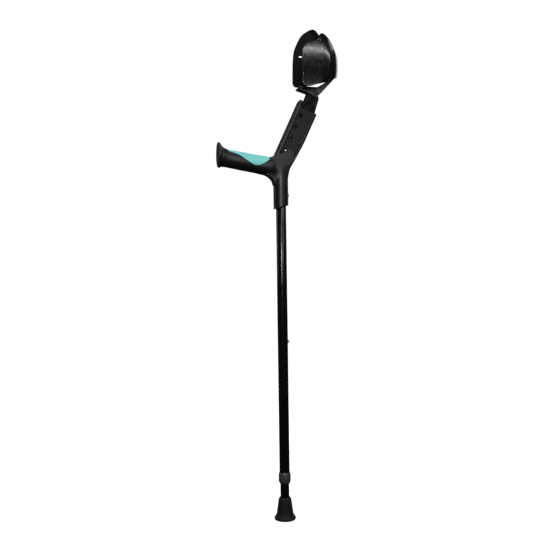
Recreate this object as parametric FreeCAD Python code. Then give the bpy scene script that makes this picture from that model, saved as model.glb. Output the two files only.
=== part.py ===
"""Forearm crutch: telescopic leg, one-piece handle with a leaning arm, and a cuff that slides and tilts.

Millimetres. The origin is the centre of the ferrule's sole, +Z runs up the shaft, -X is the way the grip
points, and Y is the axis that the cuff tilts about. The stored pose is the shortest setting.
"""

import math
import os

import FreeCAD
import Part

V = FreeCAD.Vector
X, Y, Z = V(1, 0, 0), V(0, 1, 0), V(0, 0, 1)

# ---- shaft tubes -------------------------------------------------------------------------------
OUTER_TUBE_D = 22.0
OUTER_TUBE_WALL = 1.4
SLIDE_CLEARANCE = 0.1          # radial, between anything that slides or turns and its guide
LOWER_TUBE_WALL = 1.5
LOWER_TUBE_LENGTH = 400.0
OUTER_TUBE_BOTTOM_Z = 85.0
OUTER_TUBE_LENGTH = 660.0
OUTER_TUBE_ID = OUTER_TUBE_D - 2 * OUTER_TUBE_WALL
LOWER_TUBE_D = OUTER_TUBE_ID - 2 * SLIDE_CLEARANCE
LOWER_TUBE_ID = LOWER_TUBE_D - 2 * LOWER_TUBE_WALL
OUTER_TUBE_TOP_Z = OUTER_TUBE_BOTTOM_Z + OUTER_TUBE_LENGTH

# ---- ferrule -----------------------------------------------------------------------------------
FERRULE_BASE_D = LOWER_TUBE_D + 27.5
FERRULE_WAIST_D = LOWER_TUBE_D + 17.0
FERRULE_NECK_D = LOWER_TUBE_D + 8.6
FERRULE_HEIGHT = 48.0
FERRULE_SOLE = 9.0             # rubber under the tube
FERRULE_RIM = 4.2              # height of the flared rim
FERRULE_MOUTH_WALL = 1.6
TREAD_DEPTH = 1.2
TREAD_WIDTH = 1.6
TREAD_PITCH = 5.2
WASHER_THICKNESS = 1.5

# ---- height adjustment -------------------------------------------------------------------------
HEIGHT_PITCH = 25.0
HEIGHT_STEPS = 6
LEG_BUTTON_BELOW_TOP = 26.0
LEG_BUTTON_D = 7.6
BUTTON_PROUD = 3.4
BUTTON_FLANGE = 1.2            # added to the button's radius
BUTTON_FLANGE_THICKNESS = 1.0
SPRING_STRIP = 0.5
SPRING_WIDTH = 6.0
SPRING_LENGTH = 34.0
PLUG_HEAD = 2.0
PLUG_DEPTH = 9.0

# ---- collar at the foot of the outer tube ------------------------------------------------------
COLLAR_D = OUTER_TUBE_D + 4.0
COLLAR_HEIGHT = 24.0
COLLAR_BELOW_TUBE = 7.0
COLLAR_TAPER = 4.5
COLLAR_LIP = 1.4               # flat rim round the mouth
RING_SECTION = 2.0
RIVET_D = 2.4

# ---- handle: sleeve, grip and arm --------------------------------------------------------------
SLEEVE_D = OUTER_TUBE_D + 10.5
SLEEVE_BOTTOM_Z = OUTER_TUBE_TOP_Z - 71.0
SLEEVE_SLANT = 15.0            # degrees, the front of the lower rim hangs lower
SLEEVE_TOP_Z = OUTER_TUBE_TOP_Z + 19.0
SOCKET_CLEARANCE = 0.05
HANDLE_RIVET_Z = SLEEVE_BOTTOM_Z + 26.0
HANDLE_RIVET_D = 4.0
HANDLE_RIVET_HEAD_D = 8.0

GRIP_LENGTH = 127.0
GRIP_Z = OUTER_TUBE_TOP_Z + 11.0   # where the grip's axis crosses the shaft's
GRIP_RISE = 10.0               # degrees, towards the end
GRIP_HEIGHT = 39.0
GRIP_WIDTH = 33.0
GRIP_BULGE = 1.2
GRIP_ROOT_X = -14.0
INSERT_THICKNESS = 3.0
INSERT_OUTLINE = [(0.93, 24.0), (0.914, 17.2), (0.79, 13.5), (0.64, 5.5), (0.53, -1.0), (0.44, -3.6),
                  (0.35, 0.5), (0.27, 8.0), (0.215, 15.0), (0.19, 24.0), (0.22, 34.0), (0.49, 40.0),
                  (0.87, 36.0)]    # (share of the grip's length, height above its axis)
GUSSET_R = 20.0                # the concave fillet under the grip
GUSSET_SHARE = 0.36            # its half thickness, as a share of the grip's width
CAP_HEIGHT = 54.0
CAP_WIDTH = 45.0
CAP_THICKNESS = 10.0
CAP_LIFT = 4.6                 # centre of the end cap above the grip's axis
CAP_PLUG_D = 18.0
CAP_PLUG_LENGTH = 16.0

STEM_WIDTH = 32.0
STEM_THICKNESS = 12.0
STEM_FRONT = 7.0               # front edge ahead of the button's axis
STEM_BACK = STEM_WIDTH - STEM_FRONT
CUFF_PITCH = 28.0
CUFF_STEPS = 3
ARM_LEAN = 25.0                # degrees back from upright
ARM_X = 10.0                   # the lowest hole of the arm
ARM_Z = OUTER_TUBE_TOP_Z + 50.5
ARM_FRONT = STEM_FRONT + 10.6
ARM_BACK = STEM_BACK + 5.2
WEB_HALF_THICKNESS = STEM_THICKNESS / 2 + 3.0
ARM_HALF_THICKNESS = WEB_HALF_THICKNESS + 4.0
ARM_FOOT = -62.0               # the arm's lower end, inside the sleeve
ARM_TOP = CUFF_STEPS * CUFF_PITCH + 18.0
ARM_FRONT_TIP = ARM_TOP + 14.0
ARM_FRONT_RIDGE = 8.6
ARM_BACK_FLANGE = 7.5
ARM_CORNER = 5.0
TIP_ROOT = 20.0                # how far the front tip reaches down into the arm
TIP_ROUNDING = 4.0
WEB_BOTTOM = -24.0
WEB_CORNER = 9.0
ARM_HOLE_DISH_D = 10.8
ARM_HOLE_DISH = 1.4
HEEL_LINE = [(0.0, 36.0), (-3.6, -10.0), (-5.2, -28.0), (-5.6, -70.0)]   # (behind ARM_BACK, height)
INDEX_PIP_D = 2.6
INDEX_PIP_OFFSET = 9.5

# ---- cuff stem ---------------------------------------------------------------------------------
STEM_TAIL = 12.0               # below the button
STEM_SHOULDER = ARM_TOP + 4.0
STEM_CORNER = 1.5
STEM_WALL = 2.0
STEM_POCKET_TOP = 24.0
STEM_POCKET_HALF_WIDTH = 5.4
ARM_BUTTON_D = 7.3
ARM_BUTTON_PROUD = 1.6
HEAD_R = 7.0
PIVOT_UP = ARM_TOP + 42.3        # in the arm's own axes
PIVOT_BACK = STEM_BACK - 17.25
NECK_TOP = PIVOT_UP - 7.3        # the stem's shoulders, just below the pivot
NECK_BACK = STEM_BACK - 4.0
NECK_FRONT = STEM_FRONT + 1.0
PIVOT_BOLT_D = 6.0
PIVOT_HEAD_D = 12.0
PIVOT_HEAD = 3.0
NUT_ACROSS_FLATS = 10.0
NUT_THICKNESS = 4.0
PIVOT_WASHER = 0.8
WASHER_D = 15.0

# ---- cuff bracket and shell --------------------------------------------------------------------
LUG_THICKNESS = 4.5
LUG_R = 8.5
SADDLE_OVERHANG = 5.7          # beyond the side plates
SADDLE_THICKNESS = 3.0
SADDLE_OVER_HEAD = 0.8          # gap between the stem's head and the bracket's underside
SADDLE_FRONT = 37.5
SADDLE_BACK = 49.5
SADDLE_BACK_RISE = 38.0
SADDLE_SAG = V(2.0, 0, -3.0)     # from the middle of the rear arm's chord to its curve
LUG_DROP = 9.0                 # how far the side plates hang below the bracket, ahead of the pivot
RIB_COUNT = 7
RIB_THICKNESS = 1.6
RIB_FIRST = 13.0               # behind the pivot
RIB_PITCH = 5.0
CUFF_WALL = 3.0
CUFF_WIDTH = 95.0
CUFF_DEPTH = 89.5
CUFF_AHEAD = 37.0              # its front edge ahead of the pivot
CUFF_MIDDLE_UP = 62.0          # its widest level above the pivot
CUFF_TOP_UP = 151.0
CUFF_DRAW_ABOVE = 37.0         # how far the back comes forward 100 above the middle
CUFF_DRAW_BELOW = 23.0
CUFF_SIDE_DRAW = 0.32          # the sides' share of it
CUFF_SCREW_D = 4.0
CUFF_SCREW_HEAD_D = 8.5
CUFF_SCREW_HEAD = 2.0
CUFF_CAP = 1.4
CUFF_SCREW_PITCH = 14.0
CUFF_SCREW_LIFT = 6.5          # the lower screw above the end of the bracket's rear arm
STRAP_HALF_WIDTH = 13.0
STRAP_HEIGHT = 36.0
STRAP_THICKNESS = 2.4
STRAP_CORNER = 6.0
CUFF_SLOT = (19.0, 58.0, 8.0, 3.2)   # behind the front edge, below the top, length and height
CUFF_EYE = (37.5, 47.7, 3.0)   # behind the front edge, below the top, diameter

# ---- worked out --------------------------------------------------------------------------------
LOWER_TUBE_BOTTOM_Z = FERRULE_SOLE + WASHER_THICKNESS
LOWER_TUBE_TOP_Z = LOWER_TUBE_BOTTOM_Z + LOWER_TUBE_LENGTH
LEG_BUTTON_Z = LOWER_TUBE_TOP_Z - LEG_BUTTON_BELOW_TOP
COLLAR_BOTTOM_Z = OUTER_TUBE_BOTTOM_Z - COLLAR_BELOW_TUBE
COLLAR_RIVET_Z = OUTER_TUBE_BOTTOM_Z + 10.0
GRIP_END_X = -GRIP_LENGTH
CAP_Z = GRIP_Z + GRIP_LENGTH * math.tan(math.radians(GRIP_RISE)) + CAP_LIFT
SADDLE_OVER_PIVOT = HEAD_R + SADDLE_OVER_HEAD
SLOPE = math.radians(ARM_LEAN)
PIVOT_X = ARM_X + PIVOT_BACK * math.cos(SLOPE) + PIVOT_UP * math.sin(SLOPE)
PIVOT_Z = ARM_Z - PIVOT_BACK * math.sin(SLOPE) + PIVOT_UP * math.cos(SLOPE)
LUG_INNER_Y = STEM_THICKNESS / 2 + PIVOT_WASHER
LUG_OUTER_Y = LUG_INNER_Y + LUG_THICKNESS
SADDLE_HALF_WIDTH = LUG_OUTER_Y + SADDLE_OVERHANG
SADDLE_TOP_Z = PIVOT_Z + SADDLE_OVER_PIVOT + SADDLE_THICKNESS
STRAP_FOOT_Z = PIVOT_Z + SADDLE_OVER_PIVOT + SADDLE_BACK_RISE
CUFF_FRONT_X = PIVOT_X - CUFF_AHEAD
CUFF_MIDDLE_Z = PIVOT_Z + CUFF_MIDDLE_UP
CUFF_TOP_Z = PIVOT_Z + CUFF_TOP_UP


def box(x0, x1, y0, y1, z0, z1):
    return Part.makeBox(x1 - x0, y1 - y0, z1 - z0, V(x0, y0, z0))


def rod(radius, start, axis, length):
    return Part.makeCylinder(radius, length, start, axis)


def turned(points):
    """A solid of revolution about Z from its (radius, height) outline."""
    wire = Part.makePolygon([V(r, 0, z) for r, z in points + points[:1]])
    return Part.Face(wire).revolve(V(0, 0, 0), Z, 360)


def tube(outer_d, inner_d, z0, length):
    return rod(outer_d / 2, V(0, 0, z0), Z, length).cut(rod(inner_d / 2, V(0, 0, z0 - 1), Z, length + 2))


def side_prism(wire, y0, y1):
    """Extrude a wire drawn in the XZ plane from y0 to y1."""
    face = Part.Face(wire)
    face.translate(V(0, y0, 0))
    return face.extrude(V(0, y1 - y0, 0))


def polygon(points):
    return Part.makePolygon([V(x, 0, z) for x, z in points + points[:1]])


def smooth_outline(points):
    """A closed smooth curve in the XZ plane through the points."""
    curve = Part.BSplineCurve()
    curve.interpolate([V(x, 0, z) for x, z in points], PeriodicFlag=True)
    return Part.Wire([curve.toShape()])


def long_edges_rounded(solid, axis, radius):
    """Fillet the straight edges that run along an axis."""
    edges = [e for e in solid.Edges if isinstance(e.Curve, Part.Line)
             and abs(abs(e.Curve.Direction.dot(axis)) - 1) < 1e-6]
    return solid.makeFillet(radius, edges)


def lean(shape):
    """From the arm's own axes (Z up the arm, X to its back, origin at its lowest hole) to the crutch's."""
    shape.rotate(V(0, 0, 0), Y, ARM_LEAN)
    shape.translate(V(ARM_X, 0, ARM_Z))
    return shape


# ---- leg ---------------------------------------------------------------------------------------
def ferrule():
    neck, waist, base = FERRULE_NECK_D / 2, FERRULE_WAIST_D / 2, FERRULE_BASE_D / 2
    mouth = LOWER_TUBE_D / 2 + FERRULE_MOUTH_WALL
    flare = waist - 0.3
    outline = [(0, 0), (base - 2.6, 0), (base - 0.8, 0.8), (base, 2.2), (base - 0.1, FERRULE_RIM),
               (base - 1.4, FERRULE_RIM + 2.2), (flare + 1.2, FERRULE_RIM + 6.4),
               (flare, FERRULE_RIM + 11), (neck + 0.9, FERRULE_HEIGHT - 10),
               (neck, FERRULE_HEIGHT - 6), (neck - 0.8, FERRULE_HEIGHT - 2.6),
               (mouth, FERRULE_HEIGHT), (0, FERRULE_HEIGHT)]
    body = turned(outline)
    body = body.cut(rod(LOWER_TUBE_D / 2, V(0, 0, FERRULE_SOLE), Z, FERRULE_HEIGHT))
    ring = TREAD_PITCH
    while ring + TREAD_WIDTH < base - 4:
        body = body.cut(tube(2 * (ring + TREAD_WIDTH), 2 * ring, -1, 1 + TREAD_DEPTH))
        ring += TREAD_PITCH
    return body


def ferrule_washer():
    return rod(LOWER_TUBE_D / 2 - 0.1, V(0, 0, FERRULE_SOLE), Z, WASHER_THICKNESS)


def lower_tube():
    body = tube(LOWER_TUBE_D, LOWER_TUBE_ID, LOWER_TUBE_BOTTOM_Z, LOWER_TUBE_LENGTH)
    return body.cut(rod(LEG_BUTTON_D / 2 + SLIDE_CLEARANCE, V(0, 0, LEG_BUTTON_Z), X, OUTER_TUBE_D))


def lower_tube_plug():
    head = rod(LOWER_TUBE_D / 2, V(0, 0, LOWER_TUBE_TOP_Z), Z, PLUG_HEAD)
    stem = tube(LOWER_TUBE_ID, LOWER_TUBE_ID - 4, LOWER_TUBE_TOP_Z - PLUG_DEPTH, PLUG_DEPTH)
    return head.fuse(stem)


def flat_seat(bore_r, half_width):
    """How far from the axis a flat disc of that half width can sit inside a round bore."""
    return math.sqrt(bore_r ** 2 - half_width ** 2) - 0.05


def snap_button(radius, flange_face, tip):
    """A domed button along +X: its flange seats at flange_face, inside the wall, and its dome ends at tip."""
    dome = radius * 0.55
    shank = rod(radius, V(flange_face, 0, 0), X, tip - dome - flange_face)
    ball_r = (radius ** 2 + dome ** 2) / (2 * dome)
    ball = Part.makeSphere(ball_r, V(tip - ball_r, 0, 0)).common(rod(radius, V(tip - dome, 0, 0), X, dome))
    flange = rod(radius + BUTTON_FLANGE, V(flange_face - BUTTON_FLANGE_THICKNESS, 0, 0), X,
                 BUTTON_FLANGE_THICKNESS)
    return shank.fuse(ball).fuse(flange).removeSplitter()


def leaf_spring(near, far, width, above, length):
    """A strip folded to a narrow U: legs at x = near and x = far, open end up, bent at the bottom."""
    r = (near - far) / 2
    middle = (near + far) / 2
    bend_z = above - length + r
    legs = [box(x, x + SPRING_STRIP, -width / 2, width / 2, bend_z, above)
            for x in (far, near - SPRING_STRIP)]
    bend = Part.makeCylinder(r, width, V(middle, -width / 2, bend_z), Y)
    bend = bend.cut(Part.makeCylinder(r - SPRING_STRIP, width, V(middle, -width / 2, bend_z), Y))
    bend = bend.common(box(far - 1, near + 1, -width, width, bend_z - r - 1, bend_z))
    return legs[0].fuse(bend).fuse(legs[1]).removeSplitter()


def leg_button():
    body = snap_button(LEG_BUTTON_D / 2, flat_seat(LOWER_TUBE_ID / 2, LEG_BUTTON_D / 2 + BUTTON_FLANGE),
                       OUTER_TUBE_D / 2 + BUTTON_PROUD)
    body.translate(V(0, 0, LEG_BUTTON_Z))
    return body


def leg_button_spring():
    seat = flat_seat(LOWER_TUBE_ID / 2, LEG_BUTTON_D / 2 + BUTTON_FLANGE) - BUTTON_FLANGE_THICKNESS
    far = flat_seat(LOWER_TUBE_ID / 2, SPRING_WIDTH / 2)
    body = leaf_spring(seat, -far, SPRING_WIDTH, LEG_BUTTON_D, SPRING_LENGTH)
    body.translate(V(0, 0, LEG_BUTTON_Z))
    return body


# ---- outer tube --------------------------------------------------------------------------------
def outer_tube():
    body = tube(OUTER_TUBE_D, OUTER_TUBE_ID, OUTER_TUBE_BOTTOM_Z, OUTER_TUBE_LENGTH)
    for step in range(HEIGHT_STEPS + 1):
        z = LEG_BUTTON_Z - step * HEIGHT_PITCH
        body = body.cut(rod(LEG_BUTTON_D / 2 + SLIDE_CLEARANCE, V(0, 0, z), X, OUTER_TUBE_D))
    body = body.cut(rod(HANDLE_RIVET_D / 2, V(0, 0, HANDLE_RIVET_Z), X, OUTER_TUBE_D))
    return body.cut(rod(RIVET_D / 2, V(0, 0, COLLAR_RIVET_Z), -Y, OUTER_TUBE_D))


def tube_collar():
    r, mouth = COLLAR_D / 2, LOWER_TUBE_D / 2 + SLIDE_CLEARANCE
    low, high = COLLAR_BOTTOM_Z, COLLAR_BOTTOM_Z + COLLAR_HEIGHT
    body = turned([(mouth, low), (mouth + COLLAR_LIP, low), (r, low + COLLAR_TAPER), (r, high - 5),
                   (r - 1.1, high - 1.5), (OUTER_TUBE_D / 2 + 0.3, high), (OUTER_TUBE_D / 2, high),
                   (OUTER_TUBE_D / 2, OUTER_TUBE_BOTTOM_Z), (mouth, OUTER_TUBE_BOTTOM_Z)])
    groove = tube(LOWER_TUBE_D + 2 * (SLIDE_CLEARANCE + RING_SECTION), LOWER_TUBE_D,
                  OUTER_TUBE_BOTTOM_Z - RING_SECTION, RING_SECTION)
    return body.cut(groove).cut(rod(RIVET_D / 2, V(0, 0, COLLAR_RIVET_Z), -Y, COLLAR_D))


def collar_ring():
    inner = LOWER_TUBE_D + SLIDE_CLEARANCE
    outer = LOWER_TUBE_D + 2 * (SLIDE_CLEARANCE + RING_SECTION)
    return tube(outer, inner, OUTER_TUBE_BOTTOM_Z - RING_SECTION, RING_SECTION)


def collar_rivet():
    shank = rod(RIVET_D / 2, V(0, -(OUTER_TUBE_ID / 2 + 0.2), COLLAR_RIVET_Z), -Y,
                (COLLAR_D - OUTER_TUBE_ID) / 2 - 0.2)
    head = rod(RIVET_D * 0.8, V(0, -(COLLAR_D / 2), COLLAR_RIVET_Z), -Y, 0.6)
    return shank.fuse(head)


# ---- handle ------------------------------------------------------------------------------------
def grip_axis_z(x):
    return GRIP_Z - x * math.tan(math.radians(GRIP_RISE))


def grip_section(x, height, width, lift):
    centre = V(x, 0, grip_axis_z(x) + lift)
    if height >= width:
        ellipse = Part.Ellipse(centre + V(0, 0, height / 2), centre + V(0, width / 2, 0), centre)
    else:
        ellipse = Part.Ellipse(centre + V(0, width / 2, 0), centre + V(0, 0, height / 2), centre)
    return Part.Wire([ellipse.toShape()])


def grip_body(inset=0.0):
    """The grip from its root in the shaft to the face that the end cap sits on, swelling in the palm."""
    sections = []
    for share, swell, lift in ((0.0, 1.0, 0.4), (0.3, 1.4, 1.0), (0.6, 1.0, 0.9), (0.84, 0.0, 0.6),
                               (0.94, 1.0, 1.2), (1.0, 4.0, 2.4)):
        x = GRIP_ROOT_X + share * (GRIP_END_X - GRIP_ROOT_X)
        grow = swell * GRIP_BULGE - 2 * inset
        sections.append(grip_section(x, GRIP_HEIGHT + grow, GRIP_WIDTH + grow, lift))
    return Part.makeLoft(sections, True, False)


def insert_region():
    """A side outline: a thin sliver along the top of the grip that drops to a rounded tongue near the arm."""
    points = [(-share * GRIP_LENGTH, grip_axis_z(-share * GRIP_LENGTH) + above)
              for share, above in INSERT_OUTLINE]
    return side_prism(smooth_outline(points), -GRIP_WIDTH, GRIP_WIDTH)


def grip_insert():
    return grip_body().common(insert_region()).cut(grip_body(INSERT_THICKNESS))


def end_cap():
    low, high = grip_section(GRIP_END_X, GRIP_HEIGHT + 6, GRIP_WIDTH + 6, CAP_LIFT * 0.6), []
    for back, share in ((0.5, 0.97), (0.75, 1.0), (0.9, 0.99), (1.0, 0.93)):
        x = GRIP_END_X - back * CAP_THICKNESS
        high.append(grip_section(x, CAP_HEIGHT * share, CAP_WIDTH * share, CAP_LIFT))
    head = Part.makeLoft([low] + high, True, False)
    plug = rod(CAP_PLUG_D / 2, V(GRIP_END_X, 0, grip_axis_z(GRIP_END_X)), X, CAP_PLUG_LENGTH)
    return head, plug


def grip_end_cap():
    head, plug = end_cap()
    return head.fuse(plug)


def arm_shell():
    """The leaning arm: a front ridge, a back flange and a web on each side of the stem's slot."""
    y = ARM_HALF_THICKNESS
    body = box(-ARM_FRONT, ARM_BACK, -y, y, ARM_FOOT, ARM_TOP)
    body = long_edges_rounded(body, Z, ARM_CORNER)
    tip = box(-ARM_FRONT, -ARM_FRONT + ARM_FRONT_RIDGE, -y, y, ARM_TOP - TIP_ROOT, ARM_FRONT_TIP)
    tip = long_edges_rounded(tip, Z, ARM_FRONT_RIDGE / 2 - 0.4)
    tip = tip.makeFillet(TIP_ROUNDING, [e for e in tip.Edges if e.BoundBox.ZMin > ARM_FRONT_TIP - 0.01])
    body = body.fuse(tip)
    for side in (-1, 1):
        body = body.cut(web_pocket(side))
    return body.cut(heel())


def heel():
    """What is cut from the arm's lower back, so that it runs into the sleeve."""
    line = [(ARM_BACK + back, up) for back, up in HEEL_LINE]
    beyond = 2 * ARM_BACK
    return side_prism(polygon(line + [(beyond, line[-1][1]), (beyond, line[0][1])]), -SLEEVE_D, SLEEVE_D)


def web_pocket(side):
    front, back = -ARM_FRONT + ARM_FRONT_RIDGE, ARM_BACK - ARM_BACK_FLANGE
    near, far = sorted((side * WEB_HALF_THICKNESS, side * (ARM_HALF_THICKNESS + 5)))
    pocket = box(front, back, near, far, WEB_BOTTOM, ARM_FRONT_TIP + 5)
    low = [e for e in pocket.Edges if abs(abs(e.Curve.Direction.dot(Y)) - 1) < 1e-6
           and e.BoundBox.ZMax < WEB_BOTTOM + 1]
    return pocket.makeFillet(WEB_CORNER, low)


def stem_slot():
    gap = 2 * SLIDE_CLEARANCE
    return box(-STEM_FRONT - gap, STEM_BACK + gap, -STEM_THICKNESS / 2 - gap, STEM_THICKNESS / 2 + gap,
               -STEM_TAIL - 4, ARM_FRONT_TIP + 5)


def arm_holes():
    """Along -Y, one per setting of the cuff, each dished so that a fingertip reaches the button."""
    tools = []
    for step in range(CUFF_STEPS + 1):
        z = step * CUFF_PITCH
        tools.append(rod(ARM_BUTTON_D / 2 + SLIDE_CLEARANCE, V(0, 0, z), -Y, ARM_HALF_THICKNESS))
        tools.append(Part.makeCone(ARM_BUTTON_D / 2 + SLIDE_CLEARANCE, ARM_HOLE_DISH_D / 2, ARM_HOLE_DISH,
                                   V(0, -WEB_HALF_THICKNESS + ARM_HOLE_DISH, z), -Y))
    return tools


def index_pips():
    return [rod(INDEX_PIP_D / 2, V(INDEX_PIP_OFFSET, -WEB_HALF_THICKNESS + 0.5, step * CUFF_PITCH), -Y, 1.1)
            for step in range(CUFF_STEPS + 1)]


def crotch():
    """The web of plastic where the sleeve, grip and arm meet: (x, height above the grip's axis)."""
    r = SLEEVE_D / 2
    outline = [(-r - 0.8, -4), (-r - 7.8, 12), (-r - 10.8, 23), (-r - 2.8, 27), (-r + 10.2, 30),
               (r + 3.8, 44), (r + 12.8, 32), (r + 7.4, 14), (r + 3, 1), (r, -12), (r - 6, -36),
               (-r + 4, -21)]
    outline = polygon([(x, GRIP_Z + up) for x, up in outline])
    body = side_prism(outline, -ARM_HALF_THICKNESS, ARM_HALF_THICKNESS)
    gusset = side_prism(grip_gusset(), -GRIP_WIDTH * GUSSET_SHARE, GRIP_WIDTH * GUSSET_SHARE)
    return body, gusset


def grip_gusset():
    """The concave fillet under the grip, in side view."""
    r = GUSSET_R
    corner_x = -SLEEVE_D / 2 + 0.6
    corner_z = grip_axis_z(corner_x) - GRIP_HEIGHT / 2 + 1
    start = V(corner_x - r, 0, grip_axis_z(corner_x - r) - GRIP_HEIGHT / 2 + 1)
    end = V(corner_x, 0, corner_z - r)
    middle = V(corner_x - r * 0.29, 0, corner_z - r * 0.27)
    inner = V(corner_x + r * 0.4, 0, corner_z + r * 0.5)
    arc = Part.Arc(start, middle, end).toShape()
    return Part.Wire([arc, Part.makeLine(end, inner), Part.makeLine(inner, start)])


def sleeve():
    body = rod(SLEEVE_D / 2, V(0, 0, SLEEVE_BOTTOM_Z - 20), Z, SLEEVE_TOP_Z - SLEEVE_BOTTOM_Z + 20)
    half = SLEEVE_D * 2
    cutter = box(-half, half, -half, half, -half, 0)
    cutter.rotate(V(0, 0, 0), Y, -SLEEVE_SLANT)
    cutter.translate(V(0, 0, SLEEVE_BOTTOM_Z))
    return body.cut(cutter)


def handle_body():
    arm = lean(arm_shell())
    body = sleeve().fuse(grip_body()).fuse(arm)
    for piece in crotch():
        body = body.fuse(piece)
    body = body.cut(lean(stem_slot()))
    for tool in arm_holes():
        body = body.cut(lean(tool))
    for pip in index_pips():
        body = body.fuse(lean(pip))
    body = body.cut(rod(OUTER_TUBE_D / 2 + SOCKET_CLEARANCE, V(0, 0, 0), Z, OUTER_TUBE_TOP_Z + 0.5))
    body = body.cut(rod(HANDLE_RIVET_D / 2, V(0, 0, HANDLE_RIVET_Z), X, SLEEVE_D))
    body = body.cut(grip_insert())
    head, plug = end_cap()
    body = body.cut(plug).cut(head)
    return body.removeSplitter()


def handle_rivet():
    z = HANDLE_RIVET_Z
    shank = rod(HANDLE_RIVET_D / 2, V(OUTER_TUBE_ID / 2, 0, z), X, (SLEEVE_D - OUTER_TUBE_ID) / 2)
    head = Part.makeSphere(HANDLE_RIVET_HEAD_D, V(SLEEVE_D / 2 + 1.6 - HANDLE_RIVET_HEAD_D, 0, z))
    head = head.common(rod(HANDLE_RIVET_HEAD_D / 2, V(SLEEVE_D / 2, 0, z), X, 3))
    return shank.fuse(head)


# ---- cuff stem ---------------------------------------------------------------------------------
def cuff_stem():
    px, pz = PIVOT_BACK, PIVOT_UP
    half = STEM_THICKNESS / 2
    straight = box(-STEM_FRONT, STEM_BACK, -half, half, -STEM_TAIL, STEM_SHOULDER)
    straight = long_edges_rounded(straight, Z, STEM_CORNER)
    head_outline = polygon([(-STEM_FRONT, STEM_SHOULDER - 6), (STEM_BACK, STEM_SHOULDER - 6),
                            (STEM_BACK, STEM_SHOULDER), (NECK_BACK, NECK_TOP), (px + HEAD_R, pz),
                            (px - HEAD_R, pz), (-NECK_FRONT, NECK_TOP)])
    head = side_prism(head_outline, -half, half)
    head = head.fuse(rod(HEAD_R, V(px, -half, pz), Y, STEM_THICKNESS))
    body = straight.fuse(head)
    body = body.cut(rod(PIVOT_BOLT_D / 2 + SLIDE_CLEARANCE, V(px, -half - 1, pz), Y, STEM_THICKNESS + 2))
    body = body.cut(box(-STEM_POCKET_HALF_WIDTH, STEM_POCKET_HALF_WIDTH, -half + STEM_WALL, half - STEM_WALL,
                        -STEM_TAIL - 1, STEM_POCKET_TOP))
    body = body.cut(rod(ARM_BUTTON_D / 2 + SLIDE_CLEARANCE, V(0, 0, 0), -Y, STEM_THICKNESS))
    return lean(body.removeSplitter())


def arm_button():
    seat = STEM_THICKNESS / 2 - STEM_WALL
    body = snap_button(ARM_BUTTON_D / 2, seat, WEB_HALF_THICKNESS + ARM_BUTTON_PROUD)
    body.rotate(V(0, 0, 0), Z, -90)
    return lean(body)


def arm_button_spring():
    near = STEM_THICKNESS / 2 - STEM_WALL - BUTTON_FLANGE_THICKNESS
    far = -(STEM_THICKNESS / 2 - STEM_WALL)
    body = leaf_spring(near, far, SPRING_WIDTH, ARM_BUTTON_D / 2 + 4, ARM_BUTTON_D / 2 + 4 + STEM_TAIL - 1)
    body.rotate(V(0, 0, 0), Z, -90)
    return lean(body)


def pivot_line(y, radius, length):
    return rod(radius, V(PIVOT_X, y, PIVOT_Z), Y, length)


def pivot_bolt():
    head = pivot_line(-LUG_OUTER_Y - PIVOT_HEAD, PIVOT_HEAD_D / 2, PIVOT_HEAD)
    rims = [e for e in head.Edges if abs(e.BoundBox.YMax + LUG_OUTER_Y + PIVOT_HEAD) < 1e-4
            and isinstance(e.Curve, Part.Circle)]
    head = head.makeFillet(1.2, rims)
    socket = Part.makePolygon([V(PIVOT_X + 2.3 * math.cos(a), -LUG_OUTER_Y - PIVOT_HEAD - 1,
                                 PIVOT_Z + 2.3 * math.sin(a))
                               for a in [k * math.pi / 3 for k in range(7)]])
    socket = Part.Face(socket).extrude(V(0, 3, 0))
    shank = pivot_line(-LUG_OUTER_Y, PIVOT_BOLT_D / 2, 2 * LUG_OUTER_Y + NUT_THICKNESS + 1)
    return head.cut(socket).fuse(shank).removeSplitter()


def pivot_nut():
    r = NUT_ACROSS_FLATS / math.sqrt(3)
    corners = [V(PIVOT_X + r * math.cos(a), LUG_OUTER_Y, PIVOT_Z + r * math.sin(a))
               for a in [k * math.pi / 3 for k in range(7)]]
    body = Part.Face(Part.makePolygon(corners)).extrude(V(0, NUT_THICKNESS, 0))
    return body.cut(pivot_line(LUG_OUTER_Y - 1, PIVOT_BOLT_D / 2, NUT_THICKNESS + 2))


def pivot_washers():
    rings = []
    for y in (-LUG_INNER_Y, STEM_THICKNESS / 2):
        ring = pivot_line(y, WASHER_D / 2, PIVOT_WASHER)
        rings.append(ring.cut(pivot_line(y - 1, PIVOT_BOLT_D / 2, PIVOT_WASHER + 2)))
    return Part.makeCompound(rings)


# ---- cuff --------------------------------------------------------------------------------------
def saddle_line(offset):
    """The bracket in side view: a level front, then an arc that rises behind the pivot."""
    z = PIVOT_Z + SADDLE_OVER_PIVOT + offset
    front = V(PIVOT_X - SADDLE_FRONT, 0, z + 0.5)
    foot = V(PIVOT_X + 2, 0, z)
    back = V(PIVOT_X + SADDLE_BACK - offset * 0.7, 0, z + SADDLE_BACK_RISE - offset * 0.3)
    return front, foot, (foot + back) * 0.5 + SADDLE_SAG, back


def bracket_profile(low, high):
    f0, k0, m0, b0 = saddle_line(low)
    f1, k1, m1, b1 = saddle_line(high)
    return Part.Wire([Part.makeLine(f0, k0), Part.Arc(k0, m0, b0).toShape(), Part.makeLine(b0, b1),
                      Part.Arc(b1, m1, k1).toShape(), Part.makeLine(k1, f1), Part.makeLine(f1, f0)])


def cuff_section(z, back_x, half_width, inset):
    """A D in plan: straight sides from the open front, and a round back."""
    r = half_width - inset
    centre = back_x - half_width
    front = CUFF_FRONT_X - 40
    a, b = V(front, -r, z), V(centre, -r, z)
    c, d, e = V(centre + r, 0, z), V(centre, r, z), V(front, r, z)
    back = Part.Arc(b, c, d).toShape()
    return Part.Wire([Part.makeLine(a, b), back, Part.makeLine(d, e), Part.makeLine(e, a)])


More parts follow.
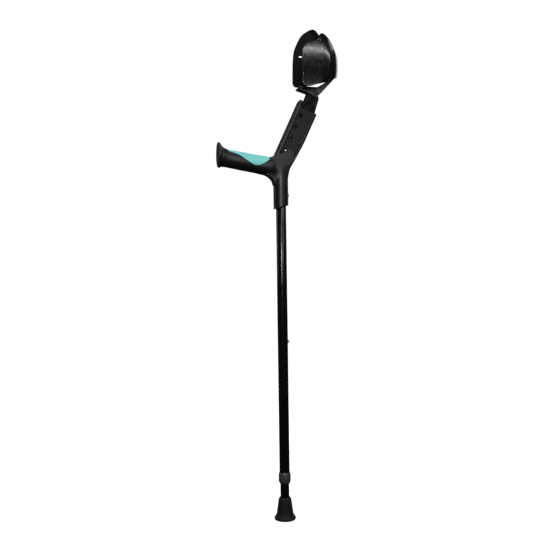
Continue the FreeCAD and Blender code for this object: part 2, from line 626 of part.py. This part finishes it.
def cuff_solid(inset):
    """The barrel that the cuff is cut from: widest at its middle, drawn in above and below."""
    sections = []
    for up in range(-75, 101, 25):
        draw = (CUFF_DRAW_ABOVE if up > 0 else CUFF_DRAW_BELOW) * (up / 100) ** 2
        half = CUFF_WIDTH / 2 - draw * CUFF_SIDE_DRAW
        back = CUFF_FRONT_X + CUFF_DEPTH - draw
        sections.append(cuff_section(CUFF_MIDDLE_Z + up, back, half, inset))
    return Part.makeLoft(sections, True, False)


def wing(points, y0, y1):
    return side_prism(smooth_outline(points), y0, y1)


def cuff_shell_blank():
    return cuff_solid(0).cut(cuff_solid(CUFF_WALL))


def back_rim():
    """The part of the side outline that both wings share: down the back and round under it."""
    f, t, back = CUFF_FRONT_X, CUFF_TOP_Z, CUFF_FRONT_X + CUFF_DEPTH
    low = SADDLE_TOP_Z + SADDLE_BACK_RISE
    return [(f + 70, t - 52), (f + 78, t - 66), (back + 1, t - 82), (back + 8, t - 94), (back + 4, low - 6)]


def cuff_shell():
    """Two wings of unequal height: the +Y wing rises to a rounded peak, the -Y wing has a low front flap."""
    f, t = CUFF_FRONT_X, CUFF_TOP_Z
    low = SADDLE_TOP_Z
    tall = [(f, low + 24), (f + 0.5, t - 88), (f + 1.5, t - 64), (f + 4, t - 45), (f + 10, t - 30),
            (f + 19, t - 14), (f + 31, t - 4), (f + 44, t), (f + 55, t - 10), (f + 65, t - 28)]
    tall += back_rim() + [(f + 68, low + 24), (f + 36, low + 18), (f + 14, low + 13), (f + 3, low + 15)]
    flap = [(f - 1.5, low + 8), (f - 1.5, low + 40), (f - 1.5, low + 66), (f + 1, low + 78),
            (f + 8, low + 84), (f + 20, low + 88.5), (f + 31, low + 93), (f + 36, low + 100),
            (f + 38, t - 34.5), (f + 44, t - 31), (f + 53, t - 34), (f + 62, t - 42)]
    flap += back_rim() + [(f + 68, low + 16), (f + 36, low + 2), (f + 12, low - 6), (f + 2, low - 4)]
    far_wing = cuff_shell_blank().common(wing(tall, 0, CUFF_WIDTH))
    near_wing = cuff_shell_blank().common(wing(flap, -CUFF_WIDTH, 0))
    body = far_wing.fuse(near_wing).removeSplitter()
    for tool in cuff_screw_holes() + cuff_openings():
        body = body.cut(tool)
    return body


def cuff_openings():
    """A short slot through the +Y wing and a small eye through the -Y wing, for a retaining strap."""
    back, down, length, height = CUFF_SLOT
    slot = box(CUFF_FRONT_X + back - length / 2, CUFF_FRONT_X + back + length / 2, 0, CUFF_WIDTH,
               CUFF_TOP_Z - down - height / 2, CUFF_TOP_Z - down + height / 2)
    slot = long_edges_rounded(slot, Y, height / 2 - 0.05)
    back, down, diameter = CUFF_EYE
    return [slot, rod(diameter / 2, V(CUFF_FRONT_X + back, 0, CUFF_TOP_Z - down), -Y, CUFF_WIDTH)]


def strap():
    """The upstand of the bracket, which lies against the inside of the cuff's back."""
    skin = cuff_solid(CUFF_WALL).cut(cuff_solid(CUFF_WALL + STRAP_THICKNESS))
    z = STRAP_FOOT_Z - 8
    window = box(CUFF_FRONT_X + CUFF_DEPTH * 0.6, CUFF_FRONT_X + CUFF_DEPTH * 2, -STRAP_HALF_WIDTH,
                 STRAP_HALF_WIDTH, z, z + STRAP_HEIGHT)
    return skin.common(long_edges_rounded(window, X, STRAP_CORNER))


def screw_places():
    return [STRAP_FOOT_Z + CUFF_SCREW_LIFT, STRAP_FOOT_Z + CUFF_SCREW_LIFT + CUFF_SCREW_PITCH]


def cuff_screw_holes():
    start = CUFF_FRONT_X + CUFF_DEPTH * 0.6
    return [rod(CUFF_SCREW_D / 2, V(start, 0, z), X, CUFF_DEPTH) for z in screw_places()]


def side_plate(y0, thickness):
    """A plate under the bracket, from its front to the end of its rear arm and down round the pivot."""
    front, foot, middle, back = saddle_line(SADDLE_THICKNESS / 2)
    lower = [back + V(2.5, 0, -6), V(PIVOT_X + LUG_R * 1.05, 0, PIVOT_Z - LUG_R * 0.5),
             V(PIVOT_X, 0, PIVOT_Z - LUG_R), V(PIVOT_X - LUG_R * 0.8, 0, PIVOT_Z - LUG_R * 0.6),
             front + V(SADDLE_FRONT / 2, 0, -LUG_DROP), front + V(0, 0, -3)]
    outline = Part.Wire([Part.makeLine(front, foot), Part.Arc(foot, middle, back).toShape()]
                        + Part.makePolygon([back] + lower + [front]).Edges)
    return side_prism(outline, y0, y0 + thickness)


def bracket_ribs():
    """Short cross ribs outside each side plate, under the bracket's rear arm."""
    ribs = []
    for y0 in (-SADDLE_HALF_WIDTH, LUG_OUTER_Y):
        plate = side_plate(y0, SADDLE_OVERHANG)
        for k in range(RIB_COUNT):
            x = PIVOT_X + RIB_FIRST + k * RIB_PITCH
            strip = box(x, x + RIB_THICKNESS, y0, y0 + SADDLE_OVERHANG, PIVOT_Z - LUG_R, STRAP_FOOT_Z)
            ribs.append(strip.common(plate))
    return ribs


def cuff_bracket():
    body = side_prism(bracket_profile(0, SADDLE_THICKNESS), -SADDLE_HALF_WIDTH, SADDLE_HALF_WIDTH)
    for y0 in (-LUG_OUTER_Y, LUG_INNER_Y):
        body = body.fuse(side_plate(y0, LUG_THICKNESS))
        body = body.fuse(pivot_line(y0, LUG_R, LUG_THICKNESS))
    for rib in bracket_ribs():
        body = body.fuse(rib)
    body = body.cut(pivot_line(-LUG_OUTER_Y - 1, PIVOT_BOLT_D / 2 + SLIDE_CLEARANCE, 2 * LUG_OUTER_Y + 2))
    body = body.fuse(strap()).cut(cuff_shell())
    for tool in cuff_screw_holes():
        body = body.cut(tool)
    crumbs_left_out = max(body.Solids, key=lambda solid: solid.Volume)
    return crumbs_left_out.removeSplitter()


def cuff_back_x(z, inset):
    """Where the cuff's back, or a skin that far inside it, crosses the XZ plane at a height."""
    line = Part.makeLine(V(CUFF_FRONT_X + CUFF_DEPTH * 0.6, 0, z), V(CUFF_FRONT_X + CUFF_DEPTH * 2, 0, z))
    return line.common(cuff_solid(inset)).BoundBox.XMax


def screw_shank(z):
    seat, outside = cuff_back_x(z, CUFF_WALL + STRAP_THICKNESS), cuff_back_x(z, 0)
    return rod(CUFF_SCREW_D / 2, V(seat - 1, 0, z), X, outside - seat + 1.8)


def cuff_screws():
    """Domed heads on the bracket's upstand, shanks out through the upstand and the shell."""
    screws = []
    for z in screw_places():
        seat = cuff_back_x(z, CUFF_WALL + STRAP_THICKNESS)
        ball = Part.makeSphere(CUFF_SCREW_HEAD_D, V(seat - CUFF_SCREW_HEAD + CUFF_SCREW_HEAD_D, 0, z))
        head = ball.common(rod(CUFF_SCREW_HEAD_D / 2, V(seat - CUFF_SCREW_HEAD - 1, 0, z), X, 7))
        head = head.common(cuff_solid(CUFF_WALL + STRAP_THICKNESS))
        screws.append(screw_shank(z).fuse(head).removeSplitter())
    return Part.makeCompound(screws)


def cuff_screw_caps():
    """Low round caps on the outside of the cuff that the screws turn into."""
    caps = []
    for z in screw_places():
        face = cuff_back_x(z, 0) + CUFF_CAP
        cap = rod(CUFF_SCREW_HEAD_D / 2, V(face - 4, 0, z), X, 4)
        rim = [e for e in cap.Edges if isinstance(e.Curve, Part.Circle) and e.BoundBox.XMin > face - 0.1]
        caps.append(cap.makeFillet(CUFF_CAP / 2, rim).cut(cuff_solid(0)).cut(screw_shank(z)))
    return Part.makeCompound(caps)


PIECES = {
    "ferrule": ferrule,
    "ferrule_washer": ferrule_washer,
    "lower_tube": lower_tube,
    "lower_tube_plug": lower_tube_plug,
    "leg_button": leg_button,
    "leg_button_spring": leg_button_spring,
    "outer_tube": outer_tube,
    "tube_collar": tube_collar,
    "collar_ring": collar_ring,
    "collar_rivet": collar_rivet,
    "handle_body": handle_body,
    "grip_insert": grip_insert,
    "grip_end_cap": grip_end_cap,
    "handle_rivet": handle_rivet,
    "cuff_stem": cuff_stem,
    "arm_button": arm_button,
    "arm_button_spring": arm_button_spring,
    "pivot_bolt": pivot_bolt,
    "pivot_nut": pivot_nut,
    "pivot_washers": pivot_washers,
    "cuff_bracket": cuff_bracket,
    "cuff_shell": cuff_shell,
    "cuff_screws": cuff_screws,
    "cuff_screw_caps": cuff_screw_caps,
}

os.makedirs("parts", exist_ok=True)
for name, make in PIECES.items():
    shape = make()
    print(f"{name:20s} solids {len(shape.Solids)} valid {shape.isValid()} volume {shape.Volume:10.1f} mm3")
    shape.exportStep(os.path.join("parts", name + ".step"))
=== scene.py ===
import math

import bmesh
import bpy
from mathutils import Matrix, Vector


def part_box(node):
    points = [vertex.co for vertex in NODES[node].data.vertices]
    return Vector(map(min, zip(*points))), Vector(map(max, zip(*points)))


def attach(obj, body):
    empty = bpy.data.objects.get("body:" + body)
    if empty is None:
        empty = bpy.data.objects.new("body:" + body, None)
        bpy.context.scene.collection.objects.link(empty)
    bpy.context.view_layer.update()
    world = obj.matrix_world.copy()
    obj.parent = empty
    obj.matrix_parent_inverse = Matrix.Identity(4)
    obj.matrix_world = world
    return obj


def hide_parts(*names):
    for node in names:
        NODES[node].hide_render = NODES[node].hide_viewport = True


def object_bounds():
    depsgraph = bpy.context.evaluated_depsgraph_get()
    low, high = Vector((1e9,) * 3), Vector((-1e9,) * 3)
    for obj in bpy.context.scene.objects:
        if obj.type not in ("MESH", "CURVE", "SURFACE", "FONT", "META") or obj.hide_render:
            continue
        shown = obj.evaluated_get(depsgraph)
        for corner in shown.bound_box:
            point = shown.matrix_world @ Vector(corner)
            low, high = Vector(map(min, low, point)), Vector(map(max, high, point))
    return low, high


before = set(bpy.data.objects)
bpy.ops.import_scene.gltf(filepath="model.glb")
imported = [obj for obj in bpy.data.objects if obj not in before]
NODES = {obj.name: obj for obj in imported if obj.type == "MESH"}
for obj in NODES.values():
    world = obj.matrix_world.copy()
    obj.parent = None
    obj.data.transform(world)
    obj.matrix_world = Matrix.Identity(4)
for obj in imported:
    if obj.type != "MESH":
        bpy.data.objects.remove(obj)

CAD_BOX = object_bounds()
MM = 0.001

# ---- camera ------------------------------------------------------------------------------------
VIEW_AZIMUTH = math.radians(-13.0)
CAMERA_DISTANCE = 1.58
AIM_HEIGHT = 0.528
AIM_SIDE = -0.015              # the aim lies a little to the left of the shaft
CAMERA_ROLL = math.radians(0.78)
LENS = 47.8
CAMERA_CLIP_END = 100.0
TO_RIGHT = Vector((math.cos(VIEW_AZIMUTH), math.sin(VIEW_AZIMUTH), 0.0))
TO_FRONT = Vector((math.sin(VIEW_AZIMUTH), -math.cos(VIEW_AZIMUTH), 0.0))

# ---- studio ------------------------------------------------------------------------------------
FLOOR_RADIUS = 9.0
FLOOR_CORNERS = 96
FLOOR_GAP = 0.3 * MM           # below the ferrule, so that the two faces don't flicker
FLOOR_GLOW_NEAR = 0.80
FLOOR_GLOW_FAR = 1.0
FLOOR_GLOW_REACH = 0.7
SURROUND_BRIGHTNESS = 0.02
BACKDROP_BRIGHTNESS = 1.05


# ---- node helpers ------------------------------------------------------------------------------
NOISE_LOW = 0.3                # most noise values lie between these two
NOISE_HIGH = 0.7


class Finish:
    """A Principled material with helpers that add texture in object space, with sizes in millimetres."""

    def __init__(self, name, base, roughness, metallic=0.0, specular=0.5, coat=0.0, coat_roughness=0.1):
        self.material = bpy.data.materials.new(name)
        self.material.use_nodes = True
        self.tree = self.material.node_tree
        self.shader = self.tree.nodes["Principled BSDF"]
        self.set("Base Color", (*base, 1.0))
        self.set("Roughness", roughness)
        self.set("Metallic", metallic)
        self.set("Specular IOR Level", specular)
        self.set("Coat Weight", coat)
        self.set("Coat Roughness", coat_roughness)
        self.base, self.roughness = base, roughness
        self.place = self.node("ShaderNodeTexCoord").outputs["Object"]
        self.normal = None

    def set(self, socket, value):
        self.shader.inputs[socket].default_value = value

    def node(self, kind, **inputs):
        made = self.tree.nodes.new(kind)
        for key, value in inputs.items():
            made.inputs[key].default_value = value
        return made

    def link(self, output, socket):
        self.tree.links.new(output, socket)

    def stretched(self, scale):
        mapping = self.node("ShaderNodeMapping", Scale=scale)
        self.link(self.place, mapping.inputs["Vector"])
        return mapping.outputs["Vector"]

    def noise(self, size_mm, detail=3.0, stretch=(1, 1, 1)):
        made = self.node("ShaderNodeTexNoise", Scale=1.0 / (size_mm * MM), Detail=detail)
        self.link(self.stretched(stretch), made.inputs["Vector"])
        return made.outputs["Fac"]

    def ranged(self, value, low, high, from_low=NOISE_LOW, from_high=NOISE_HIGH):
        made = self.node("ShaderNodeMapRange")
        limits = {"From Min": from_low, "From Max": from_high, "To Min": low, "To Max": high}
        for key, number in limits.items():
            made.inputs[key].default_value = number
        self.link(value, made.inputs["Value"])
        return made.outputs["Result"]

    def vary_roughness(self, value, spread):
        varied = self.ranged(value, self.roughness - spread, self.roughness + spread)
        self.link(varied, self.shader.inputs["Roughness"])

    def vary_colour(self, value, other):
        mix = self.tree.nodes.new("ShaderNodeMix")
        mix.data_type = "RGBA"
        colour_sockets = [s for s in mix.inputs if s.type == "RGBA"]
        colour_sockets[0].default_value = (*self.base, 1.0)
        colour_sockets[1].default_value = (*other, 1.0)
        self.link(self.ranged(value, 0.0, 1.0), mix.inputs["Factor"])
        result = [s for s in mix.outputs if s.type == "RGBA"][0]
        self.link(result, self.shader.inputs["Base Color"])

    def bump(self, height, depth_mm):
        made = self.node("ShaderNodeBump", Distance=depth_mm * MM, Strength=1.0)
        self.link(height, made.inputs["Height"])
        if self.normal is not None:
            self.link(self.normal, made.inputs["Normal"])
        self.normal = made.outputs["Normal"]
        self.link(self.normal, self.shader.inputs["Normal"])


# ---- materials ---------------------------------------------------------------------------------
def tube_finish():
    """Black anodised tube: satin, drawn along its length, with fine wear lines."""
    look = Finish("crutch.black_tube", (0.0036, 0.0036, 0.0039), 0.17)
    drawn = look.noise(0.9, 4.0, (1.0, 1.0, 0.035))
    look.bump(drawn, 0.002)
    look.vary_roughness(look.noise(6.0, 3.0, (1.0, 1.0, 0.25)), 0.04)
    look.vary_colour(look.noise(18.0, 4.0, (1.0, 1.0, 0.3)), (0.0068, 0.0067, 0.0070))
    return look.material


def moulded_finish():
    """Black moulded plastic with a fine spark-eroded grain."""
    look = Finish("crutch.handle_plastic", (0.0058, 0.0058, 0.0062), 0.40)
    look.bump(look.noise(0.55, 2.0), 0.020)
    look.bump(look.noise(9.0, 2.0), 0.10)
    look.vary_roughness(look.noise(3.5, 4.0), 0.06)
    look.vary_colour(look.noise(14.0, 4.0), (0.0080, 0.0080, 0.0084))
    return look.material


def gloss_finish():
    """Polished black shell: deep gloss over a faint flow waviness, with hairline marks."""
    look = Finish("crutch.gloss_black", (0.0048, 0.0048, 0.0052), 0.17, coat=0.3, coat_roughness=0.10)
    look.bump(look.noise(22.0, 1.0), 0.22)
    look.bump(look.noise(1.1, 5.0, (1.0, 0.2, 1.0)), 0.001)
    look.vary_roughness(look.noise(8.0, 5.0), 0.05)
    look.vary_colour(look.noise(30.0, 3.0), (0.0064, 0.0064, 0.0068))
    return look.material


def bracket_finish():
    """Dark nylon of the bracket, collar and plugs: matt with a coarse grain."""
    look = Finish("crutch.dark_plastic", (0.066, 0.066, 0.068), 0.38)
    look.bump(look.noise(0.8, 3.0), 0.022)
    look.vary_roughness(look.noise(4.0, 4.0), 0.07)
    look.vary_colour(look.noise(10.0, 4.0), (0.082, 0.082, 0.085))
    return look.material


def mint_finish():
    """Soft mint-green overmould: silky, faintly mottled, with a fine leathery grain."""
    look = Finish("crutch.mint_soft", (0.30, 0.98, 0.93), 0.52, specular=0.35)
    look.set("Subsurface Weight", 0.08)
    look.set("Subsurface Radius", (0.6, 1.0, 0.9))
    look.set("Subsurface Scale", 1.2 * MM)
    look.set("Sheen Weight", 0.12)
    cells = look.node("ShaderNodeTexVoronoi", Scale=1.0 / (0.7 * MM))
    look.link(look.place, cells.inputs["Vector"])
    look.bump(cells.outputs["Distance"], 0.025)
    look.vary_roughness(look.noise(3.0, 3.0), 0.06)
    look.vary_colour(look.noise(12.0, 4.0), (0.27, 0.92, 0.87))
    return look.material


def rubber_finish():
    """Ferrule rubber: dull, slightly dusty, pitted."""
    look = Finish("crutch.rubber", (0.0095, 0.0094, 0.0092), 0.70, specular=0.32)
    look.bump(look.noise(0.7, 4.0), 0.05)
    look.bump(look.noise(5.0, 2.0), 0.10)
    look.vary_roughness(look.noise(5.0, 5.0), 0.10)
    look.vary_colour(look.noise(8.0, 5.0), (0.021, 0.020, 0.019))
    return look.material


def steel_finish():
    """Bright zinc-plated steel with fine turning marks."""
    look = Finish("crutch.steel", (0.80, 0.80, 0.79), 0.40, metallic=1.0)
    look.bump(look.noise(0.3, 4.0, (1.0, 1.0, 0.2)), 0.006)
    look.vary_roughness(look.noise(1.5, 4.0), 0.08)
    look.vary_colour(look.noise(3.0, 4.0), (0.58, 0.58, 0.60))
    return look.material


def spring_finish():
    """Blued spring strip."""
    look = Finish("crutch.spring_steel", (0.22, 0.23, 0.27), 0.32, metallic=1.0)
    look.bump(look.noise(0.5, 3.0, (0.2, 1.0, 1.0)), 0.005)
    look.vary_roughness(look.noise(2.0, 4.0), 0.08)
    look.vary_colour(look.noise(4.0, 4.0), (0.16, 0.16, 0.24))
    return look.material


def black_steel_finish():
    """Blackened fastener steel, a little worn."""
    look = Finish("crutch.black_steel", (0.026, 0.026, 0.028), 0.34, metallic=0.7)
    look.bump(look.noise(0.5, 4.0), 0.010)
    look.vary_roughness(look.noise(2.0, 4.0), 0.10)
    look.vary_colour(look.noise(3.0, 5.0), (0.060, 0.058, 0.055))
    return look.material


def web_shade_finish():
    """The same plastic in the arm's sunk web, with a duller texture and a darker, bluer base colour: the
    darkness is painted shade in the recess.
    """
    look = Finish("crutch.handle_plastic_web_shade", (0.0040, 0.0044, 0.0064), 0.46, specular=0.28)
    look.bump(look.noise(0.8, 2.0), 0.03)
    look.vary_roughness(look.noise(3.5, 4.0), 0.06)
    look.vary_colour(look.noise(14.0, 4.0), (0.0072, 0.0076, 0.0094))
    return look.material


def shaded_lining_finish():
    """The cuff's inside: dull as moulded, with a base colour darker than the shell's that is painted shade
    inside the cuff.
    """
    look = Finish("crutch.gloss_black_inside_shade", (0.0030, 0.0030, 0.0033), 0.60, specular=0.15)
    look.bump(look.noise(0.7, 3.0), 0.02)
    look.vary_roughness(look.noise(6.0, 4.0), 0.06)
    look.vary_colour(look.noise(16.0, 4.0), (0.0046, 0.0046, 0.0050))
    return look.material


# painted shade: a darker copy of the handle plastic for the arm's sunk web
WEB_PAINTED_SHADE = web_shade_finish()
# painted shade: a darker, dull copy of the shell for the cuff's inside
SHADED_LINING = shaded_lining_finish()
SLOT_MATERIALS = {
    "black_tube": tube_finish(),
    "handle_plastic": moulded_finish(),
    "gloss_black": gloss_finish(),
    "dark_plastic": bracket_finish(),
    "mint_soft": mint_finish(),
    "rubber": rubber_finish(),
    "steel": steel_finish(),
    "spring_steel": spring_finish(),
    "black_steel": black_steel_finish(),
}


# ---- carried-over CAD nodes --------------------------------------------------------------------
WELD_DISTANCE = 0.002 * MM
EDGE_SEGMENTS = 2
EDGE_ANGLE = math.radians(38)  # sharper edges than this are rounded
# radius of the rounded edges, in mm
SOFT_EDGES = {"ferrule": 0.35, "tube_collar": 0.3, "cuff_bracket": 0.45, "cuff_stem": 0.4, "cuff_screws": 0.2,
              "outer_tube": 0.15, "grip_insert": 0.5, "grip_end_cap": 0.5, "lower_tube": 0.15}


def paint(obj, material):
    if not obj.material_slots:
        obj.data.materials.append(material)
    for entry in obj.material_slots:
        entry.material = material


def soften(obj, width_mm):
    """Weld the CAD mesh and round its sharp edges, as a modifier."""
    weld = obj.modifiers.new("weld", "WELD")
    weld.merge_threshold = WELD_DISTANCE
    bevel = obj.modifiers.new("edge", "BEVEL")
    bevel.width = width_mm * MM
    bevel.segments = EDGE_SEGMENTS
    bevel.limit_method = "ANGLE"
    bevel.angle_limit = EDGE_ANGLE
    bevel.harden_normals = True


def dress_nodes():
    """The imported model's own materials are named after the record's slots."""
    for name, obj in NODES.items():
        paint(obj, SLOT_MATERIALS[obj.active_material.name])
        if name in SOFT_EDGES:
            soften(obj, SOFT_EDGES[name])


# ---- replaced pieces ---------------------------------------------------------------------------
HANDLE_VOXEL = 0.8 * MM
HANDLE_SKIN_FACTOR = 0.4
HANDLE_SKIN_ROUNDS = 3
CUFF_VOXEL = 0.9 * MM
CUFF_SMOOTH_FACTOR = 0.5
CUFF_SMOOTH_ROUNDS = 6
LINING_TURN = -0.3             # a face whose normal points inwards by more than this is lining

TUBE_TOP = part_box("outer_tube")[1].z
CROTCH_X = -2 * MM             # where the sleeve, grip and arm run into each other
CROTCH_UP = 14 * MM            # above the outer tube's end
CROTCH_CORE = 14 * MM          # smoothed fully inside this distance
CROTCH_REACH = 38 * MM         # and not at all outside this one
CROTCH_ROUNDS = 150
CROTCH_FILL = (15 * MM, 15.6 * MM, 21 * MM)
CROTCH_FILL_OFFSET = (-6 * MM, 0.0, -6 * MM)
CROTCH_FILL_DETAIL = 4
TUBE_GAP = 1 * MM              # the fill stays this far above the outer tube
INSERT_EASE = 8 * MM           # the smoothing fades out over this length towards the insert
BORE_GUARD = 12.5 * MM         # the tube's socket, inside this radius, keeps its shape
WEB_DEPTH = 10 * MM
WEB_FACING = 0.8


def welded_copy(node, name):
    mesh = bpy.data.meshes.new(name)
    bm = bmesh.new()
    bm.from_mesh(NODES[node].data)
    bmesh.ops.remove_doubles(bm, verts=bm.verts, dist=WELD_DISTANCE)
    bm.to_mesh(mesh)
    bm.free()
    obj = bpy.data.objects.new(name, mesh)
    bpy.context.scene.collection.objects.link(obj)
    return obj


def apply_modifiers(obj):
    graph = bpy.context.evaluated_depsgraph_get()
    mesh = bpy.data.meshes.new_from_object(obj.evaluated_get(graph))
    obj.modifiers.clear()
    obj.data = mesh


def remesh(obj, voxel):
    modifier = obj.modifiers.new("remesh", "REMESH")
    modifier.mode = "VOXEL"
    modifier.voxel_size = voxel
    modifier.use_smooth_shade = True
    apply_modifiers(obj)


def smooth(obj, factor, rounds, group=""):
    """Smooth the whole mesh, or only a vertex group of it."""
    modifier = obj.modifiers.new("smooth", "SMOOTH")
    modifier.factor = factor
    modifier.iterations = rounds
    modifier.vertex_group = group


def finish_piece(obj, node, body, slot):
    for polygon in obj.data.polygons:
        polygon.use_smooth = True
    paint(obj, SLOT_MATERIALS[slot])
    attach(obj, body)
    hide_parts(node)


def paint_faces(obj, material, wanted):
    """Give a second material to the faces that wanted() picks."""
    obj.data.materials.append(material)
    last = len(obj.data.materials) - 1
    for face in obj.data.polygons:
        if wanted(face):
            face.material_index = last


def ease(value, low, high):
    """0 below low, 1 above high and smooth between them."""
    share = min(1.0, max(0.0, (value - low) / (high - low)))
    return share * share * (3 - 2 * share)


def crotch_fill(mesh, centre):
    """Add a lens of plastic that fills the crease where the sleeve and grip cross, before the remesh."""
    bm = bmesh.new()
    bm.from_mesh(mesh)
    ball = bmesh.ops.create_icosphere(bm, subdivisions=CROTCH_FILL_DETAIL, radius=1.0)["verts"]
    bmesh.ops.scale(bm, verts=ball, vec=CROTCH_FILL)
    bmesh.ops.translate(bm, verts=ball, vec=centre)
    for v in ball:
        v.co.z = max(v.co.z, TUBE_TOP + TUBE_GAP)
    bm.to_mesh(mesh)
    bm.free()


def in_web(face):
    """The sunk web of the arm: it faces sideways and lies well inside the flanges."""
    facing = abs(face.normal.y) > WEB_FACING
    return facing and abs(face.center.y) < WEB_DEPTH and face.center.z > TUBE_TOP


def crotch_share(place, centre, insert_end):
    """How much of the crotch's smoothing a point of the handle takes."""
    if math.hypot(place.x, place.y) < BORE_GUARD and place.z < TUBE_TOP:
        return 0.0
    distance = math.hypot(place.x - centre.x, place.z - centre.z)
    away_from_insert = ease(place.x, insert_end, insert_end + INSERT_EASE)
    return (1.0 - ease(distance, CROTCH_CORE, CROTCH_REACH)) * away_from_insert


def moulded_handle():
    """The one-piece handle, with its sleeve, grip and arm blended into each other."""
    obj = welded_copy("handle_body", "handle_moulding")
    centre = Vector((CROTCH_X, 0.0, TUBE_TOP + CROTCH_UP))
    crotch_fill(obj.data, centre + Vector(CROTCH_FILL_OFFSET))
    remesh(obj, HANDLE_VOXEL)
    crotch = obj.vertex_groups.new(name="crotch")
    insert_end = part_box("grip_insert")[1].x
    for v in obj.data.vertices:
        crotch.add([v.index], crotch_share(v.co, centre, insert_end), "REPLACE")
    smooth(obj, 1.0, CROTCH_ROUNDS, "crotch")
    smooth(obj, HANDLE_SKIN_FACTOR, HANDLE_SKIN_ROUNDS)
    apply_modifiers(obj)
    finish_piece(obj, "handle_body", "upper", "handle_plastic")
    # the sunk web's faces get the darker copy of the plastic: painted shade in the recess
    paint_faces(obj, WEB_PAINTED_SHADE, in_web)


def glossy_cuff():
    """The polished shell, with a dull lining on its inside whose darker colour is painted shade."""
    obj = welded_copy("cuff_shell", "cuff_shell_gloss")
    remesh(obj, CUFF_VOXEL)
    smooth(obj, CUFF_SMOOTH_FACTOR, CUFF_SMOOTH_ROUNDS)
    apply_modifiers(obj)
    finish_piece(obj, "cuff_shell", "cuff", "gloss_black")
    low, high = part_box("cuff_shell")
    axis = Vector((high.x - (high.y - low.y) / 2, 0.0, 0.0))

    def inside(face):
        out = face.center - axis
        out.z = 0.0
        if face.center.x < axis.x:
            out.x = 0.0
        return out.normalized().dot(face.normal) < LINING_TURN

    # the inward faces get the darker copy: painted shade inside the cuff
    paint_faces(obj, SHADED_LINING, inside)


# ---- studio ------------------------------------------------------------------------------------
def floor():
    """A plain pale disc with a painted glow, weaker near the middle, that fades into the white behind."""
    bm = bmesh.new()
    bmesh.ops.create_circle(bm, cap_ends=True, segments=FLOOR_CORNERS, radius=FLOOR_RADIUS)
    mesh = bpy.data.meshes.new("studio_floor")
    bm.to_mesh(mesh)
    bm.free()
    obj = bpy.data.objects.new("studio_floor", mesh)
    bpy.context.scene.collection.objects.link(obj)
    obj.location.z = CAD_BOX[0].z - FLOOR_GAP
    look = Finish("studio.floor", (0.82, 0.82, 0.82), 0.9, specular=0.0)
    look.set("Emission Color", (1.0, 1.0, 1.0, 1.0))
    away = look.node("ShaderNodeVectorMath")
    away.operation = "LENGTH"
    look.link(look.place, away.inputs[0])
    # painted glow: the emission strength rises from the middle of the disc outwards
    glow = look.ranged(away.outputs["Value"], FLOOR_GLOW_NEAR, FLOOR_GLOW_FAR, 0.0, FLOOR_GLOW_REACH)
    look.link(glow, look.shader.inputs["Emission Strength"])
    paint(obj, look.material)
    obj.visible_glossy = False
    obj.visible_diffuse = False


def surround():
    """White behind the crutch, and a dim grey room for its reflections."""
    world = bpy.data.worlds.new("studio")
    bpy.context.scene.world = world
    world.use_nodes = True
    tree = world.node_tree
    background = tree.nodes["Background"]
    background.inputs["Color"].default_value = (1.0, 1.0, 1.0, 1.0)
    path = tree.nodes.new("ShaderNodeLightPath")
    level = tree.nodes.new("ShaderNodeMapRange")
    level.inputs["To Min"].default_value = SURROUND_BRIGHTNESS
    level.inputs["To Max"].default_value = BACKDROP_BRIGHTNESS
    tree.links.new(path.outputs["Is Camera Ray"], level.inputs["Value"])
    tree.links.new(level.outputs["Result"], background.inputs["Strength"])


def softbox(name, azimuth, distance, height, width, tall, radiance, aim_height):
    """An area light aimed at the shaft; its azimuth is in degrees from the camera's side."""
    a = VIEW_AZIMUTH + math.radians(azimuth)
    place = Vector((math.sin(a) * distance, -math.cos(a) * distance, height))
    data = bpy.data.lights.new(name, "AREA")
    data.shape = "RECTANGLE"
    data.size = width
    data.size_y = tall
    data.energy = radiance * math.pi * width * tall
    obj = bpy.data.objects.new(name, data)
    bpy.context.scene.collection.objects.link(obj)
    aim = Vector((0.0, 0.0, aim_height)) - place
    obj.rotation_mode = "QUATERNION"
    obj.rotation_quaternion = aim.to_track_quat("-Z", "Y")
    obj.location = place
    obj.visible_camera = False


def lights():
    softbox("key", 0.0, 1.70, 1.03, 0.30, 0.30, 32.0, 0.75)
    softbox("grip", 26.0, 1.70, 0.98, 0.60, 0.12, 5.0, 0.79)
    softbox("ceiling", 0.0, 0.45, 2.60, 1.20, 1.00, 2.2, 0.90)
    softbox("front_right", 42.0, 1.70, 1.70, 2.40, 0.12, 8.5, 1.03)
    softbox("side_right", 112.0, 1.90, 2.05, 1.40, 0.36, 2.0, 1.03)
    softbox("front_left", -65.0, 1.70, 1.90, 0.90, 0.50, 2.0, 0.90)
    softbox("back_right", 145.0, 1.90, 1.50, 0.90, 1.80, 1.2, 0.80)
    softbox("back_left", 243.0, 1.90, 1.50, 0.90, 1.80, 0.9, 0.80)


def camera():
    """Level with the middle of the shaft, turned towards the grip."""
    data = bpy.data.cameras.new("camera")
    data.lens = LENS
    data.clip_end = CAMERA_CLIP_END
    obj = bpy.data.objects.new("camera", data)
    bpy.context.scene.collection.objects.link(obj)
    target = Vector((0.0, 0.0, AIM_HEIGHT)) + TO_RIGHT * AIM_SIDE
    axes = Matrix((TO_RIGHT, Vector((0.0, 0.0, 1.0)), TO_FRONT)).transposed()
    turn = axes @ Matrix.Rotation(-CAMERA_ROLL, 3, "Z")
    obj.matrix_world = Matrix.Translation(target + TO_FRONT * CAMERA_DISTANCE) @ turn.to_4x4()
    bpy.context.scene.camera = obj
    bpy.context.scene.view_settings.view_transform = "Standard"


dress_nodes()
moulded_handle()
glossy_cuff()
floor()
surround()
lights()
camera()

bpy.context.view_layer.update()
